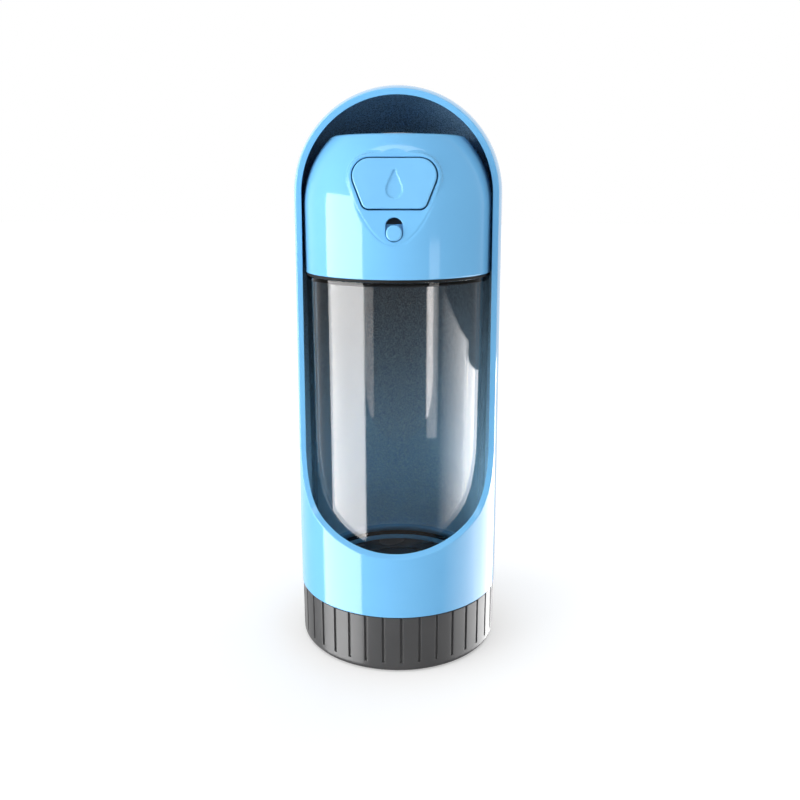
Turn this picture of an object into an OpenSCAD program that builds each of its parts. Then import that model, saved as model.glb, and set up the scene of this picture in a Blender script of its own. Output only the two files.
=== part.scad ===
// Dog travel water bottle: a clear tube bottle that telescopes out of a
// half-open tray shell.  Pulled up, the domed shell becomes the drinking
// trough over the head; the front button opens a sprung valve in the head and
// the ribbed cap at the foot unscrews for filling.
// Z is up, the front faces -Y, and the origin is the centre of the foot.

/* [Bottle tube] */
// Outside radius of the clear tube
tube_r = 32; // [28:0.5:36]
// Wall of the clear tube
tube_wall = 2; // [1.6:0.1:2.6]
// Length of the clear tube up to its shoulder
tube_h = 130; // [100:1:160]
// Height of the neck above the shoulder
neck_h = 8.4; // [7.4:0.2:8.6]
// Step in from the tube to its neck, on the radius
neck_step = 2; // [1.6:0.1:2.4]

/* [Head] */
// How far the head stands out past the tube, on the radius
head_lip = 0.4; // [0.2:0.1:0.8]
// Height of the head
head_h = 44.8; // [42:0.2:52]
// Wall of the head
head_wall = 2; // [1.6:0.1:2.4]
// Edge round of the flat top
head_edge_r = 3; // [1:0.5:5]
// Thickness of the black ring between tube and head
neck_gasket_t = 0.9; // [0.6:0.1:1.4]
// Height of the stop lugs at the back of the head
lug_h = 3; // [2:0.5:5]
// Width of a stop lug
lug_w = 13; // [8:1:16]
// How far the stop lugs stand out, on the radius
lug_out = 0.8; // [0.6:0.1:0.9]
// Turn between two stop lugs, in degrees
lug_turn = 55; // [45:1:60]

/* [Facet] */
// Height of the facet's lowest point over the head's lower edge
facet_rise = 10.9; // [9:0.1:13]
// Lean of the facet from upright, in degrees
facet_lean = 10.6; // [8:0.2:13]
// Edge of the raised pad round the button
pad_lip = 1.4; // [1:0.1:2]

/* [Button] */
// Height of the button up the facet
button_h = 15.5; // [13:0.5:17]
// Width across the top corners
button_top_w = 26.2; // [22:0.2:28]
// Width across the bottom corners
button_low_w = 20.6; // [16:0.2:22]
// Round of the top corners
button_top_r = 5.4; // [3:0.2:6]
// Round of the bottom corners
button_low_r = 2.4; // [1.5:0.1:4]
// Bottom of the button over the facet's lowest point
button_rise = 11.2; // [10.4:0.1:13]
// Gap round the button and round the lock knob
button_gap = 0.4; // [0.3:0.05:0.6]
// How far the button stands proud of the facet
button_proud = 0.7; // [0.3:0.1:1.5]
// Travel of the button
button_travel = 2.5; // [1.5:0.1:3]
// Depth of the plain drop mark in the button
mark_depth = 0.3; // [0.2:0.05:0.5]

/* [Lock] */
// Width of the lock's slot
slot_w = 5.4; // [4.4:0.2:6]
// Height of the lock's slot
slot_h = 7.6; // [7:0.2:8.4]
// Bottom of the slot over the facet's lowest point
slot_rise = 1; // [0.8:0.1:1.4]
// Height of the lock's knob
knob_h = 4.9; // [4:0.1:5.4]
// How far the knob stands proud of the facet
knob_proud = 0.9; // [0.4:0.1:1.5]
// Edge by which the knob's foot overlaps the slot behind the wall
knob_flange = 0.8; // [0.6:0.1:0.9]
// Thickness of the plate that holds the lock
retainer_t = 1.5; // [1:0.1:2]
// Half distance between the plate's two screws
retainer_screw_x = 6.6; // [6.2:0.1:7.2]

/* [Tray shell] */
// Wall of the shell
shell_wall = 1.9; // [1.5:0.1:2.4]
// Gap between head and shell at the dome, on the radius
shell_gap = 1.2; // [1:0.1:2]
// Extra radius of the shell at its lower ring
shell_flare = 1; // [0.5:0.1:1.6]
// Clear height between the head's top and the dome
headroom = 14.3; // [10:0.5:30]
// Height of the straight lower ring under the scoop's edge
ring_h = 21.6; // [18:0.2:26]
// Distance of the front opening's plane before the axis
front_cut = 11.3; // [8:0.1:14]
// Rise of the scoop from its lip, in degrees
scoop_slope = 36.5; // [30:0.5:45]
// Round where the scoop turns upright
scoop_fillet = 30; // [20:1:36]
// Height of the ledge inside the lower ring
ledge_h = 5.8; // [5:0.1:7]
// Running clearance of the ledge round the tube, on the radius
ledge_clear = 0.3; // [0.2:0.05:0.4]
// Thickness of the sliding seal's round section
slide_seal_d = 1.9; // [1.5:0.1:2.1]

/* [Base cap] */
// Height of the ribbed cap
cap_h = 20.9; // [18:0.1:24]
// Step in from the shell to the cap, on the radius
cap_inset = 0.4; // [0.2:0.1:1]
// Floor of the cap
cap_floor = 4; // [3:0.1:5]
// Round of the cap's lower edge
cap_edge_r = 2.2; // [1:0.1:3]
// Number of grooves round the cap
groove_count = 36; // [24:1:40]
// Width of a groove
groove_w = 0.9; // [0.6:0.1:1.4]
// Depth of a groove
groove_d = 0.7; // [0.4:0.1:1]
// Height at which the grooves start
groove_z = 3.6; // [3:0.1:6]
// Turn of the first groove from the front, in degrees
groove_turn = 4; // [0:0.5:10]
// Clearance between the cap's threaded skirt and the tube, on the radius
thread_clear = 0.4; // [0.3:0.05:0.5]
// Thickness of the flat seal under the tube's end
base_seal_t = 1.2; // [0.8:0.1:1.6]
// Height of the inner plug over the cap's floor
plug_h = 18.5; // [14:0.5:20]
// Clearance of the inner plug in the tube, on the radius
plug_clear = 0.4; // [0.3:0.05:0.5]
// Radius of the raised ring on the plug
plug_ring_r = 20.6; // [16:0.2:24]
// Thickness of the plug ring's round section
plug_seal_d = 2; // [1.6:0.1:2.4]

/* [Valve] */
// Outside radius of the valve barrel
barrel_r = 7; // [6.6:0.1:7.2]
// Radius of the front bore, in which the stem runs
stem_bore_r = 3; // [2.8:0.1:3.4]
// Radius of the rear bore, which holds the spring
spring_bore_r = 5.3; // [5.1:0.1:5.5]
// Distance of the valve seat behind the outlet
seat_behind = 4.6; // [4:0.1:5.4]
// Radius of the stem's shaft
stem_r = 1.5; // [1.3:0.05:1.7]
// Running clearance of the stem's guide land, on the radius
land_clear = 0.06; // [0.03:0.01:0.1]
// Mean radius of the return spring's coil
spring_r = 3.1; // [2.8:0.1:3.6]
// Wire radius of the return spring
spring_wire_r = 0.35; // [0.25:0.05:0.45]
// Turns of the return spring
spring_turns = 6; // [4:1:8]
// Radius of the water ways
port_r = 2.4; // [2:0.1:2.6]
// Thickness of the deck that carries the barrel
deck_t = 4.6; // [3.6:0.2:4.8]
// Radius of the outlet's tower over the deck
tower_r = 6.4; // [6:0.1:7]
// Radius of the outlet collar on the head's top
collar_r = 8; // [7:0.2:10]
// Height of the outlet collar
collar_h = 0.8; // [0.6:0.1:2]
// Distance of the deck screws in from the neck's bore
deck_screw_in = 6.5; // [6.2:0.1:7]
// Turn of the deck screws from the side, in degrees
deck_screw_turn = 31; // [28:1:36]

/* [Hidden] */
$fn = 96;
// Gap left between pieces that rest or stop on each other but can move apart
seat_gap = 0.3;
// Gap left between a soft seal and the hard face that it seals against
seal_gap = 0.03;
// Overshoot of a cutting shape past the face that it cuts
over = 1;
// Clearance of a screw, stem or spigot in the hole that holds it
fit_gap = 0.05;
// Looser clearance of a piece that is only laid in place
laid_gap = 0.1;
// Extra radius of a round, so that it crosses the faces that it joins
round_cross = 0.004;
scoop_cross = 0.04;

blue = [0.50, 0.78, 0.98];
pale_blue = [0.60, 0.86, 1.00];
smoke = [0.30, 0.33, 0.36, 0.55];
black = [0.08, 0.08, 0.09];
dark_grey = [0.27, 0.27, 0.28];
white = [0.88, 0.89, 0.90];
steel = [0.72, 0.73, 0.75];

// Foot, from the floor up
seal_z = cap_floor;
tube_z = seal_z + base_seal_t + seal_gap;
shoulder_z = tube_z + tube_h;
neck_top = shoulder_z + neck_h;
tube_in_r = tube_r - tube_wall;
neck_r = tube_r - neck_step;
neck_in_r = neck_r - tube_wall;

// Head
head_r = tube_r + head_lip;
head_z = shoulder_z + neck_gasket_t;
head_top = head_z + head_h;
facet_z = head_z + facet_rise;
// Radius at which the shoulder's sphere would reach the flat top, as a share of the head's
flat_share = 0.69;
head_flat_r = head_r * flat_share;
dome_start_z = head_top - sqrt(head_r * head_r - head_flat_r * head_flat_r);

// Tray shell
shell_z = cap_h + seat_gap;
ring_top = shell_z + ring_h;
dome_in_r = head_r + shell_gap;
dome_r = dome_in_r + shell_wall;
ring_r = dome_r + shell_flare;
ring_in_r = ring_r - shell_wall;
dome_z = head_top + headroom - dome_in_r;
ledge_r = tube_r + ledge_clear;
ledge_top = shell_z + ledge_h;
slide_travel = head_z - ledge_top - seat_gap;

// Base cap
cap_r = ring_r - cap_inset;
cap_in_r = tube_r + thread_clear;
plug_r = tube_in_r - plug_clear;
plug_wall = 2;
plug_top = cap_floor + plug_h;
plug_seal_z = plug_top - 4;

// Valve, measured inwards from the facet along the button's axis
button_mid = button_rise + button_h / 2;
// The button hooks behind the wall with a spine that is longer than the button
spine_w = 12;
spine_y = head_wall + 0.8;
spine_t = 1.2;
spine_reach = 1;
button_back = spine_y + spine_t;
boss_len = 4;
boss_r = 3.2;
stem_start = button_back + 1;
// Plain drop mark in the button
drop_h = 8;
drop_w = 5.2;
drop_tip_r = 0.4;
barrel_start = button_back + boss_len + button_travel + seat_gap;
land_start = barrel_start + 2.5;
land_len = 6;
land_groove_depth = 0.9;
land_groove_w = 1.6;
outlet_depth = head_r / cos(facet_lean) - button_mid * tan(facet_lean);
seat_depth = outlet_depth + seat_behind;
washer_t = 1;
stem_head_t = 1.4;
stem_head_r = spring_bore_r - 1;
stem_head_start = seat_depth + seal_gap + washer_t;
stem_tail = 4.5;
stem_tail_end = stem_head_start + stem_head_t + stem_tail;
spring_start = stem_head_start + stem_head_t + seal_gap;
inlet_behind = 5.5;
inlet_depth = spring_start + inlet_behind;
// The barrel's end stays clear of the head's back wall
back_wall_y = sqrt(pow(head_r - head_wall, 2) - pow(barrel_r, 2));
back_wall_depth = (back_wall_y + head_r) / cos(facet_lean) - (button_mid + barrel_r) * tan(facet_lean);
back_room = 4.6;
end_flange_t = 1.5;
end_plug_len = 5;
end_groove_start = 1.5;
end_groove_w = 1.2;
end_groove_depth = 1;
barrel_end = back_wall_depth - back_room - end_flange_t;
end_plug_start = barrel_end - end_plug_len;

// Deck that closes the neck and carries the barrel
deck_inset = 2;
deck_low = neck_top - deck_inset;
deck_top = deck_low + deck_t;
deck_r = neck_r - 2 * laid_gap;
deck_plug_r = neck_in_r - seat_gap;
deck_skirt_h = 5;
deck_skirt_wall = 2.8;
deck_seal_d = 1.6;
deck_seal_z = deck_low - deck_skirt_h / 2;
deck_ring_r = neck_in_r - deck_screw_in;
deck_screw_r = 1.25;
deck_screw_head_r = 2.4;
deck_screw_head_h = 1.8;
screw_len = 14;
screw_hole_spare = 1.5;
boss_wall = 1.8;

// Outlet
tower_top = head_top - head_wall - seat_gap;
spigot_r = 4.2;
spigot_len = 6.5;
spigot_z = tower_top - spigot_len;
spigot_seal_d = 1.5;
spigot_seal_z = spigot_z + spigot_len * 2 / 5;
collar_bevel = 0.6;
collar_funnel = 1.6;

// Lock, measured on the facet
knob_w = slot_w - button_gap;
knob_z = slot_rise + button_gap / 2;
lock_travel = slot_h - knob_h - button_gap;
lock_back_y = head_wall + 0.5;
knob_flat = 0.3;
lock_foot_t = 1.1;
retainer_y = lock_back_y + lock_foot_t + seat_gap;
retainer_screw_r = 0.9;
retainer_z = slot_rise + slot_h / 2;
retainer_h = 8;
retainer_boss_r = 1.8;

echo(shell_slide_travel = slide_travel, lock_slide_travel = lock_travel);
echo(top_of_shell = dome_z + dome_r, facet_low = facet_z, seal_to_tube = ledge_r);

// ---------------------------------------------------------------- helpers

// A solid turned about Z from its profile drawn in radius and height
module turned() {
    rotate_extrude() children();
}

// A round rubber ring of mean radius r about Z at height z
module round_ring(r, d, z) {
    translate([0, 0, z]) rotate_extrude() translate([r, 0]) circle(d / 2, $fn = 32);
}

// A straight ring about Z
module ring(outer, inner, low, high) {
    translate([0, 0, low]) difference() {
        cylinder(r = outer, h = high - low);
        translate([0, 0, -over]) cylinder(r = inner, h = high - low + 2 * over);
    }
}

// Puts children in the facet's own frame: X across, Y inwards, Z up the facet
module on_facet() {
    translate([0, -head_r, facet_z]) rotate([-facet_lean, 0, 0]) children();
}

// Puts children drawn about Z on the button's axis, Z running inwards
module on_valve_axis() {
    on_facet() translate([0, 0, button_mid]) rotate([-90, 0, 0]) children();
}

// Extrudes a flat outline (X across, Y up the facet) from one depth to another
module facet_plate(front, back) {
    on_facet() translate([0, back, 0]) rotate([90, 0, 0])
        linear_extrude(back - front) children();
}

// Direction, from a corner circle's centre, of its touching point on the
// straight side that runs on to the next corner circle
function side_angle(a, b) =
    let (step = [b[0] - a[0], b[1] - a[1]])
    atan2(step[1], step[0]) - acos((a[2] - b[2]) / norm(step));

function on_circle(c, angle) = [c[0] + c[2] * cos(angle), c[1] + c[2] * sin(angle)];

// A convex outline with true round corners, each given as [x, y, radius]
// and listed anticlockwise
module round_outline(corners) {
    count = len(corners);
    polygon([
        for (i = [0 : count - 1])
            let (a = corners[i], b = corners[(i + 1) % count], angle = side_angle(a, b))
            each [on_circle(a, angle), on_circle(b, angle)]
    ]);
    for (c = corners) translate([c[0], c[1]]) circle(c[2] + round_cross);
}

// The button's rounded trapezoid, grown outwards by "grow"
module button_outline(grow) {
    top_r = button_top_r + grow;
    low_r = button_low_r + grow;
    top_x = button_top_w / 2 - button_top_r;
    low_x = button_low_w / 2 - button_low_r;
    top_z = button_rise + button_h - button_top_r;
    low_z = button_rise + button_low_r;
    round_outline([
        [-low_x, low_z, low_r],
        [low_x, low_z, low_r],
        [top_x, top_z, top_r],
        [-top_x, top_z, top_r],
    ]);
}

// An upright round-ended outline of width w between heights low and high
module pill_outline(w, low, high) {
    translate([0, low + w / 2]) circle(w / 2);
    translate([0, high - w / 2]) circle(w / 2);
    translate([-w / 2, low + w / 2]) square([w, high - low - w]);
}

// A straight bar along an open path of points, as one closed mesh
module wire(path, r, sides) {
    last = len(path) - 1;
    tangent = [
        for (i = [0 : last])
            let (step = path[min(i + 1, last)] - path[max(i - 1, 0)])
            step / norm(step)
    ];
    rim = [
        for (i = [0 : last])
            let (
                outward = [path[i][0], path[i][1], 0] / norm([path[i][0], path[i][1], 0]),
                side = cross(tangent[i], outward)
            )
            for (j = [0 : sides - 1])
                path[i] + r * (cos(j * 360 / sides) * outward + sin(j * 360 / sides) * side)
    ];
    walls = [
        for (i = [0 : last - 1])
            for (j = [0 : sides - 1])
                let (a = i * sides, b = a + sides, n = (j + 1) % sides)
                each [[a + j, a + n, b + n], [a + j, b + n, b + j]]
    ];
    start_cap = [for (j = [sides - 1 : -1 : 0]) j];
    end_cap = [for (j = [0 : sides - 1]) last * sides + j];
    polyhedron(points = rim, faces = concat(walls, [start_cap, end_cap]));
}

// ------------------------------------------------------------- tray shell

// Half profile of the shell's outside or inside: a straight ring, a slight
// taper up to the dome and the dome's quarter circle
module shell_profile(low, ring_radius, dome_radius) {
    polygon([
        [0, low],
        [ring_radius, low],
        [ring_radius, ring_top],
        [dome_radius, dome_z],
        [0, dome_z],
    ]);
    translate([0, dome_z]) intersection() {
        circle(dome_radius);
        square(dome_radius);
    }
}

// Side view of the front opening: the scoop's slanting lip would meet the
// upright cut at this corner, and the round touches both this far from it
scoop_corner_z = ring_top + (ring_r - front_cut) * tan(scoop_slope);
scoop_run = scoop_fillet * tan((90 - scoop_slope) / 2);
scoop_round_y = -front_cut - scoop_fillet;
scoop_round_z = scoop_corner_z + scoop_run;

// The straight-sided part of the opening, without its round
module scoop_straight_cut() {
    reach = 2 * ring_r;
    top = dome_z + dome_r + over;
    rotate([90, 0, 90]) translate([0, 0, -2 * ring_r]) linear_extrude(4 * ring_r) polygon([
        [-reach, scoop_corner_z - (reach - front_cut) * tan(scoop_slope)],
        [-front_cut - scoop_run * cos(scoop_slope), scoop_corner_z - scoop_run * sin(scoop_slope)],
        [scoop_round_y, scoop_round_z],
        [-front_cut, scoop_round_z],
        [-front_cut, top],
        [-reach, top],
    ]);
}

module scoop_round_cut() {
    translate([-2 * ring_r, scoop_round_y, scoop_round_z]) rotate([0, 90, 0])
        cylinder(r = scoop_fillet + scoop_cross, h = 4 * ring_r);
}

module tray_shell() {
    groove_mid = shell_z + ledge_h / 2;
    color(blue) difference() {
        difference() {
            turned() difference() {
                shell_profile(shell_z, ring_r, dome_r);
                shell_profile(ledge_top, ring_in_r, dome_in_r);
                translate([0, shell_z - over]) square([ledge_r, ledge_h + 2 * over]);
                // Groove that holds the sliding seal
                translate([0, groove_mid - slide_seal_d / 2])
                    square([ledge_r + slide_seal_d, slide_seal_d]);
            }
            scoop_straight_cut();
        }
        scoop_round_cut();
    }
}

module slide_seal() {
    color(black) round_ring(tube_r + seal_gap + slide_seal_d / 2, slide_seal_d,
        shell_z + ledge_h / 2);
}

// ------------------------------------------------------------ clear tube

module bottle_tube() {
    color(smoke) turned() polygon([
        [tube_in_r, tube_z],
        [tube_r, tube_z],
        [tube_r, shoulder_z],
        [neck_r, shoulder_z],
        [neck_r, neck_top],
        [neck_in_r, neck_top],
        [neck_in_r, shoulder_z - tube_wall],
        [tube_in_r, shoulder_z - 2 * tube_wall],
    ]);
}

module neck_gasket() {
    color(black) ring(head_r - laid_gap, neck_r + laid_gap, shoulder_z, head_z);
}

// ------------------------------------------------------------------- head

// Half profile of a round-shouldered head of radius r with a flat top and a
// rounded edge; the shoulder is part of a sphere
module head_profile(r, low, top, edge_r) {
    edge_z = top - edge_r;
    edge_x = sqrt(pow(r - edge_r, 2) - pow(edge_z - dome_start_z, 2));
    reach = r / (r - edge_r);
    touch = [edge_x * reach, dome_start_z + (edge_z - dome_start_z) * reach];
    polygon([[0, low], [r, low], [r, dome_start_z], [0, dome_start_z]]);
    intersection() {
        translate([0, dome_start_z]) circle(r);
        translate([0, dome_start_z]) square([r, touch[1] - dome_start_z]);
    }
    polygon([[0, dome_start_z], touch, [edge_x, edge_z], [edge_x, top], [0, top]]);
    intersection() {
        translate([edge_x, edge_z]) circle(edge_r);
        translate([0, touch[1] - edge_r]) square([r, edge_r + top - touch[1]]);
    }
}

// A turned block with everything in front of the facet's plane, moved inwards
// by "depth", cut away
module faceted_block(r, low, top, depth) {
    difference() {
        turned() head_profile(r, low, top, head_edge_r);
        on_facet() translate([-2 * head_r, depth - 4 * head_r, -2 * head_h])
            cube([4 * head_r, 4 * head_r, 6 * head_h]);
    }
}

module at_deck_screws() {
    for (side = [0, 180])
        for (turn = [-deck_screw_turn, deck_screw_turn])
            rotate([0, 0, side + turn]) translate([deck_ring_r, 0, 0]) children();
}

module at_retainer_screws() {
    on_facet() for (x = [-retainer_screw_x, retainer_screw_x])
        translate([x, 0, retainer_z]) rotate([-90, 0, 0]) children();
}

// Three lugs at the back of the lower edge, hidden by the shell, on which the
// shell stops when it is pulled right out
module stop_lugs() {
    for (middle = [90 - lug_turn, 90, 90 + lug_turn]) rotate([0, 0, middle]) intersection() {
        ring(head_r + lug_out, head_r - head_wall / 2, head_z, head_z + lug_h);
        translate([0, -lug_w / 2, head_z - over]) cube([2 * head_r, lug_w, lug_h + 2 * over]);
    }
}

module head_housing() {
    inner_top = head_top - head_wall;
    color(blue) difference() {
        union() {
            difference() {
                union() {
                    faceted_block(head_r, head_z, head_top, 0);
                    // Raised pad that carries the facet out past the shoulder
                    facet_plate(0, 3 * head_wall) button_outline(pad_lip);
                }
                faceted_block(head_r - head_wall, head_z - over, inner_top, head_wall);
            }
            stop_lugs();
            // Screw bosses, which run into the round shoulder
            at_deck_screws() translate([0, 0, deck_top])
                cylinder(r = deck_screw_r + boss_wall, h = inner_top - head_wall - deck_top);
            at_retainer_screws() translate([0, 0, head_wall / 2])
                cylinder(r = retainer_boss_r, h = retainer_y - head_wall / 2);
        }
        facet_plate(-over, button_back + over) button_outline(button_gap);
        facet_plate(-over, head_wall + over)
            pill_outline(slot_w, slot_rise, slot_rise + slot_h);
        translate([0, 0, inner_top - over]) cylinder(r = spigot_r + laid_gap, h = head_wall + 2 * over);
        at_deck_screws() translate([0, 0, deck_top - over])
            cylinder(r = deck_screw_r + fit_gap, h = screw_len - deck_t + screw_hole_spare + over);
        at_retainer_screws() translate([0, 0, head_wall / 2])
            cylinder(r = retainer_screw_r + fit_gap, h = retainer_y);
    }
}

// ------------------------------------------------------- valve and outlet

module valve_body() {
    color(white) difference() {
        union() {
            // Deck on the neck's end and the plug inside the neck
            translate([0, 0, neck_top]) cylinder(r = deck_r, h = deck_top - neck_top);
            translate([0, 0, deck_low]) cylinder(r = deck_plug_r, h = deck_t);
            ring(deck_plug_r, deck_plug_r - deck_skirt_wall, deck_low - deck_skirt_h, deck_low);
            // Barrel along the button's axis, on its web
            on_valve_axis() translate([0, 0, barrel_start])
                cylinder(r = barrel_r, h = barrel_end - barrel_start);
            intersection() {
                translate([-barrel_r / 2, -head_r, deck_low])
                    cube([barrel_r, 2 * head_r, head_h]);
                on_facet() translate([-barrel_r, barrel_start, button_mid - 2 * barrel_r])
                    cube([2 * barrel_r, barrel_end - barrel_start, 2 * barrel_r]);
                translate([0, 0, deck_low]) cylinder(r = deck_plug_r, h = head_h);
            }
            // Outlet tower up to the head's top
            translate([0, 0, deck_low]) cylinder(r = tower_r, h = tower_top - deck_low);
        }
        // Seal groove round the plug
        ring(deck_plug_r + over, neck_in_r - deck_seal_d - laid_gap,
            deck_seal_z - deck_seal_d / 2, deck_seal_z + deck_seal_d / 2);
        on_valve_axis() {
            translate([0, 0, barrel_start - over])
                cylinder(r = stem_bore_r, h = seat_depth - barrel_start + 2 * over);
            translate([0, 0, seat_depth])
                cylinder(r = spring_bore_r, h = barrel_end - seat_depth + over);
        }
        // Water way in from the bottle, up through the deck
        on_valve_axis_drop(inlet_depth) cylinder(r = port_r, h = head_h);
        // Water way out, up the tower
        translate([0, 0, axis_height(outlet_depth)])
            cylinder(r = port_r, h = tower_top - axis_height(outlet_depth) + over);
        translate([0, 0, spigot_z])
            cylinder(r = spigot_r + laid_gap, h = tower_top - spigot_z + over);
        at_deck_screws() translate([0, 0, deck_low - over])
            cylinder(r = deck_screw_r + laid_gap, h = deck_t + 2 * over);
    }
}

// Height of the valve's axis at a given depth behind the facet
function axis_height(depth) =
    facet_z + button_mid * cos(facet_lean) - depth * sin(facet_lean);

// Puts an upright drill under the valve's axis at a given depth, its top
// ending on the axis
module on_valve_axis_drop(depth) {
    y = -head_r + button_mid * sin(facet_lean) + depth * cos(facet_lean);
    translate([0, y, axis_height(depth) - head_h]) children();
}

module deck_seal() {
    color(black) round_ring(neck_in_r - seal_gap - deck_seal_d / 2, deck_seal_d - 2 * seal_gap,
        deck_seal_z);
}

module deck_screws() {
    color(steel) at_deck_screws() {
        translate([0, 0, deck_low - deck_screw_head_h])
            cylinder(r = deck_screw_head_r, h = deck_screw_head_h);
        translate([0, 0, deck_low - deck_screw_head_h])
            cylinder(r = deck_screw_r, h = deck_screw_head_h + screw_len);
    }
}

module outlet_collar() {
    color(white) difference() {
        union() {
            translate([0, 0, spigot_z + seat_gap])
                cylinder(r = spigot_r, h = head_top - spigot_z - seat_gap);
            translate([0, 0, head_top])
                cylinder(r1 = collar_r, r2 = collar_r - collar_bevel, h = collar_h);
        }
        translate([0, 0, spigot_z - over]) cylinder(r = port_r, h = head_h);
        translate([0, 0, head_top + collar_h / 2])
            cylinder(r1 = port_r, r2 = port_r + 2 * collar_funnel, h = collar_h);
        ring(spigot_r + over, spigot_r - spigot_seal_d / 2,
            spigot_seal_z - spigot_seal_d / 2, spigot_seal_z + spigot_seal_d / 2);
    }
}

module outlet_seal() {
    section = spigot_seal_d / 2;
    color(black) round_ring(spigot_r + laid_gap - seal_gap - section / 2, section, spigot_seal_z);
}

module valve_end_plug() {
    groove_low = end_plug_start + end_groove_start;
    slot = 1.2;
    color(white) on_valve_axis() difference() {
        union() {
            translate([0, 0, end_plug_start])
                cylinder(r = spring_bore_r - fit_gap, h = end_plug_len);
            translate([0, 0, barrel_end]) cylinder(r = barrel_r, h = end_flange_t);
        }
        ring(spring_bore_r + over, spring_bore_r - end_groove_depth, groove_low,
            groove_low + end_groove_w);
        translate([-barrel_r, -slot / 2, barrel_end + end_flange_t / 2])
            cube([2 * barrel_r, slot, end_flange_t]);
    }
}

module end_plug_seal() {
    section = end_groove_depth - 2 * seal_gap;
    color(black) on_valve_axis() round_ring(spring_bore_r - seal_gap - section / 2, section,
        end_plug_start + end_groove_start + end_groove_w / 2);
}

module return_spring() {
    steps = 18;
    low = spring_start + spring_wire_r;
    rise = end_plug_start - spring_start - 2 * spring_wire_r - seal_gap;
    total = spring_turns * steps;
    color(steel) on_valve_axis() wire([
        for (i = [0 : total])
            let (turn = i * 360 / steps)
            [spring_r * cos(turn), spring_r * sin(turn), low + rise * i / total]
    ], spring_wire_r, 6);
}

// ----------------------------------------------------------- button group

module release_button() {
    color(pale_blue) {
        difference() {
            union() {
                facet_plate(-button_proud, spine_y + spine_t / 2) button_outline(0);
                on_facet() translate([-spine_w / 2, spine_y, button_rise - spine_reach])
                    cube([spine_w, spine_t, button_h + 2 * spine_reach]);
                on_valve_axis() translate([0, 0, spine_y + spine_t / 2])
                    cylinder(r = boss_r, h = spine_t / 2 + boss_len);
            }
            // Plain drop mark
            facet_plate(-button_proud - over, mark_depth - button_proud) round_outline([
                [0, button_mid - drop_h / 4, drop_w / 2],
                [0, button_mid + drop_h / 2 - drop_tip_r, drop_tip_r],
            ]);
            // Socket for the stem
            on_valve_axis() translate([0, 0, stem_start])
                cylinder(r = stem_r + fit_gap, h = boss_len);
        }
    }
}

module valve_stem() {
    land_r = stem_bore_r - land_clear;
    color(steel) on_valve_axis() difference() {
        union() {
            translate([0, 0, stem_start]) cylinder(r = stem_r, h = stem_tail_end - stem_start);
            translate([0, 0, land_start]) cylinder(r = land_r, h = land_len);
            translate([0, 0, stem_head_start]) cylinder(r = stem_head_r, h = stem_head_t);
        }
        ring(land_r + over, land_r - land_groove_depth, land_start + (land_len - land_groove_w) / 2,
            land_start + (land_len + land_groove_w) / 2);
    }
}

module stem_seal() {
    section = land_groove_depth + land_clear - 2 * seal_gap;
    color(black) on_valve_axis() round_ring(stem_bore_r - seal_gap - section / 2, section,
        land_start + land_len / 2);
}

module valve_washer() {
    color(black) on_valve_axis() ring(stem_head_r + 2 * laid_gap, stem_r + fit_gap,
        seat_depth + seal_gap, stem_head_start);
}

// ------------------------------------------------------------------- lock

// The knob follows the slot's round ends
module knob_outline() {
    corner = knob_w / 2 - knob_flat;
    round_outline([
        [-knob_flat, knob_z + corner, corner],
        [knob_flat, knob_z + corner, corner],
        [knob_flat, knob_z + knob_h - corner, corner],
        [-knob_flat, knob_z + knob_h - corner, corner],
    ]);
}

module lock_slider() {
    foot_low = knob_z - knob_flange;
    foot_high = knob_z + knob_h + knob_flange;
    color(pale_blue) {
        facet_plate(-knob_proud, lock_back_y + lock_foot_t / 2) knob_outline();
        on_facet() translate([-knob_w / 2 - knob_flange, lock_back_y, foot_low])
            cube([knob_w + 2 * knob_flange, lock_foot_t, foot_high - foot_low]);
    }
}

module lock_retainer() {
    reach = retainer_screw_x + retainer_boss_r;
    color(white) difference() {
        on_facet() translate([-reach, retainer_y, retainer_z - retainer_h / 2])
            cube([2 * reach, retainer_t, retainer_h]);
        at_retainer_screws()
            cylinder(r = retainer_screw_r + laid_gap, h = retainer_y + 2 * retainer_t);
    }
}

module retainer_screws() {
    tip = head_wall / 2 + seat_gap;
    head_t = 1;
    color(steel) at_retainer_screws() {
        translate([0, 0, tip])
            cylinder(r = retainer_screw_r, h = retainer_y + retainer_t + head_t / 2 - tip);
        translate([0, 0, retainer_y + retainer_t]) cylinder(r = retainer_boss_r, h = head_t);
    }
}

// --------------------------------------------------------------- base cap

module base_seal() {
    color(black) ring(cap_in_r - laid_gap, plug_r + laid_gap, seal_z, seal_z + base_seal_t);
}

// Half profile of the cap's outside, with the rounded lower edge
module cap_profile() {
    square([cap_r - cap_edge_r, cap_h]);
    translate([0, cap_edge_r]) square([cap_r, cap_h - cap_edge_r]);
    translate([cap_r - cap_edge_r, cap_edge_r]) circle(cap_edge_r);
}

module base_cap() {
    foot_recess_r = 26;
    foot_recess_d = 0.8;
    color(dark_grey) difference() {
        turned() cap_profile();
        translate([0, 0, cap_floor]) cylinder(r = cap_in_r, h = cap_h);
        translate([0, 0, -over]) cylinder(r = foot_recess_r, h = foot_recess_d + over);
        for (i = [0 : groove_count - 1])
            rotate([0, 0, -90 + groove_turn + i * 360 / groove_count])
                translate([cap_r - groove_d, -groove_w / 2, groove_z])
                    cube([groove_d + over, groove_w, cap_h]);
    }
}

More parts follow.
